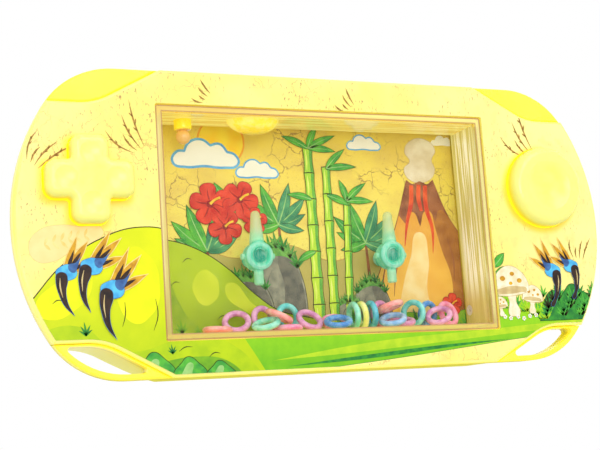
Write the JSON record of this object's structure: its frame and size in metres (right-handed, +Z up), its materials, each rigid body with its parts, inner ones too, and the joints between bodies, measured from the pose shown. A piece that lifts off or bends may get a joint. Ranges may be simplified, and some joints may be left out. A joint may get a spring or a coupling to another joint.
{
  "type": "handheld water game",
  "caption": "Palm-sized water ring game: a yellow case with a clear tank, two target pegs, loose rings, and a plus-shaped and a round button that pump jets of water.",
  "frame": {"origin": "centre of the footprint on the surface that the case stands on, halfway between the button tops and the back", "axes": "+X to the player's right, +Y from the front face to the back, +Z up; the case stands on its long lower edge"},
  "size_m": [0.165, 0.0284, 0.0765],
  "materials": {
    "case_front": "gloss, pale lemon yellow with a printed face",
    "case_back": "gloss, lemon yellow",
    "clear_tank": "clear moulded plastic",
    "printed_card": "printed card",
    "buttons": "gloss, pale lemon yellow",
    "plug": "gloss, bright yellow",
    "screws": "plated steel",
    "pegs": "translucent teal",
    "soft_rubber": "soft, milky",
    "soft_tube": "soft, milky",
    "pump_plastic": "plain, milky white",
    "ring_salmon": "translucent",
    "ring_mauve": "translucent",
    "ring_pink": "translucent",
    "ring_mint": "translucent",
    "ring_aqua": "translucent",
    "ring_teal": "translucent",
    "ring_blue": "translucent",
    "ring_sky": "translucent",
    "ring_yellow": "translucent"
  },
  "bodies": {
    "case": {"front_cover": "case_front", "rear_cover": "case_back", "tank_shell": "clear_tank", "tank_back_plate": "clear_tank", "backdrop_card": "printed_card", "case_screws": "screws", "peg_left": "pegs", "pump_bellows_left": "soft_rubber", "pump_cup_left": "pump_plastic", "feed_tube_left": "soft_tube", "jet_nozzle_left": "pump_plastic", "peg_right": "pegs", "pump_bellows_right": "soft_rubber", "pump_cup_right": "pump_plastic", "feed_tube_right": "soft_tube", "jet_nozzle_right": "pump_plastic"},
    "dpad_button": {"dpad_button": "buttons"},
    "round_button": {"round_button": "buttons"},
    "filler_plug": {"filler_plug": "plug"},
    "ring_01": {"ring_01": "ring_salmon"},
    "ring_02": {"ring_02": "ring_mauve"},
    "ring_03": {"ring_03": "ring_mauve"},
    "ring_04": {"ring_04": "ring_salmon"},
    "ring_05": {"ring_05": "ring_mint"},
    "ring_06": {"ring_06": "ring_aqua"},
    "ring_07": {"ring_07": "ring_pink"},
    "ring_08": {"ring_08": "ring_mauve"},
    "ring_09": {"ring_09": "ring_pink"},
    "ring_10": {"ring_10": "ring_blue"},
    "ring_11": {"ring_11": "ring_mint"},
    "ring_12": {"ring_12": "ring_yellow"},
    "ring_13": {"ring_13": "ring_teal"},
    "ring_14": {"ring_14": "ring_mauve"},
    "ring_15": {"ring_15": "ring_salmon"},
    "ring_16": {"ring_16": "ring_aqua"},
    "ring_17": {"ring_17": "ring_sky"},
    "ring_18": {"ring_18": "ring_mauve"},
    "ring_19": {"ring_19": "ring_blue"},
    "ring_20": {"ring_20": "ring_mauve"},
    "ring_21": {"ring_21": "ring_pink"}
  },
  "joints": [
    {"name": "dpad_press", "type": "slide", "parent": "case", "child": "dpad_button", "axis": [0, 1, 0], "range_m": [0, 0.003], "stiffness_N_per_m": 250, "springref_m": -0.0004, "deforming": ["pump_bellows_left"]},
    {"name": "button_press", "type": "slide", "parent": "case", "child": "round_button", "axis": [0, 1, 0], "range_m": [0, 0.003], "stiffness_N_per_m": 250, "springref_m": -0.0004, "deforming": ["pump_bellows_right"]},
    {"name": "plug_pull", "type": "slide", "parent": "case", "child": "filler_plug", "axis": [0, 0, 1], "range_m": [0, 0.022]},
    {"name": "ring_01_lift", "type": "slide", "parent": "case", "child": "ring_01", "axis": [0, 0, 1], "range_m": [0, 0.045]},
    {"name": "ring_02_lift", "type": "slide", "parent": "case", "child": "ring_02", "axis": [0, 0, 1], "range_m": [0, 0.011]},
    {"name": "ring_03_lift", "type": "slide", "parent": "case", "child": "ring_03", "axis": [0, 0, 1], "range_m": [0, 0.0095]},
    {"name": "ring_04_lift", "type": "slide", "parent": "ring_05", "child": "ring_04", "axis": [0, 0, 1], "range_m": [0, 0.003]},
    {"name": "ring_05_lift", "type": "slide", "parent": "ring_07", "child": "ring_05", "axis": [0, 0, 1], "range_m": [0, 0.0013]},
    {"name": "ring_06_lift", "type": "slide", "parent": "case", "child": "ring_06", "axis": [0, 0, 1], "range_m": [0, 0.045]},
    {"name": "ring_07_lift", "type": "slide", "parent": "case", "child": "ring_07", "axis": [0, 0, 1], "range_m": [0, 0.0012]},
    {"name": "ring_08_lift", "type": "slide", "parent": "case", "child": "ring_08", "axis": [0, 0, 1], "range_m": [0, 0.045]},
    {"name": "ring_09_lift", "type": "slide", "parent": "case", "child": "ring_09", "axis": [0, 0, 1], "range_m": [0, 0.02]},
    {"name": "ring_10_lift", "type": "slide", "parent": "ring_09", "child": "ring_10", "axis": [0, 0, 1], "range_m": [0, 0.025]},
    {"name": "ring_11_lift", "type": "slide", "parent": "case", "child": "ring_11", "axis": [0, 0, 1], "range_m": [0, 0.045]},
    {"name": "ring_12_lift", "type": "slide", "parent": "case", "child": "ring_12", "axis": [0, 0, 1], "range_m": [0, 0.045]},
    {"name": "ring_13_lift", "type": "slide", "parent": "case", "child": "ring_13", "axis": [0, 0, 1], "range_m": [0, 0.045]},
    {"name": "ring_14_lift", "type": "slide", "parent": "case", "child": "ring_14", "axis": [0, 0, 1], "range_m": [0, 0.009]},
    {"name": "ring_15_lift", "type": "slide", "parent": "ring_17", "child": "ring_15", "axis": [0, 0, 1], "range_m": [0, 0.0025]},
    {"name": "ring_16_lift", "type": "slide", "parent": "case", "child": "ring_16", "axis": [0, 0, 1], "range_m": [0, 0.045]},
    {"name": "ring_17_lift", "type": "slide", "parent": "ring_18", "child": "ring_17", "axis": [0, 0, 1], "range_m": [0, 0.001]},
    {"name": "ring_18_lift", "type": "slide", "parent": "case", "child": "ring_18", "axis": [0, 0, 1], "range_m": [0, 0.001]},
    {"name": "ring_19_lift", "type": "slide", "parent": "case", "child": "ring_19", "axis": [0, 0, 1], "range_m": [0, 0.045]},
    {"name": "ring_20_lift", "type": "slide", "parent": "case", "child": "ring_20", "axis": [0, 0, 1], "range_m": [0, 0.045]},
    {"name": "ring_21_lift", "type": "slide", "parent": "case", "child": "ring_21", "axis": [0, 0, 1], "range_m": [0, 0.045]}
  ]
}
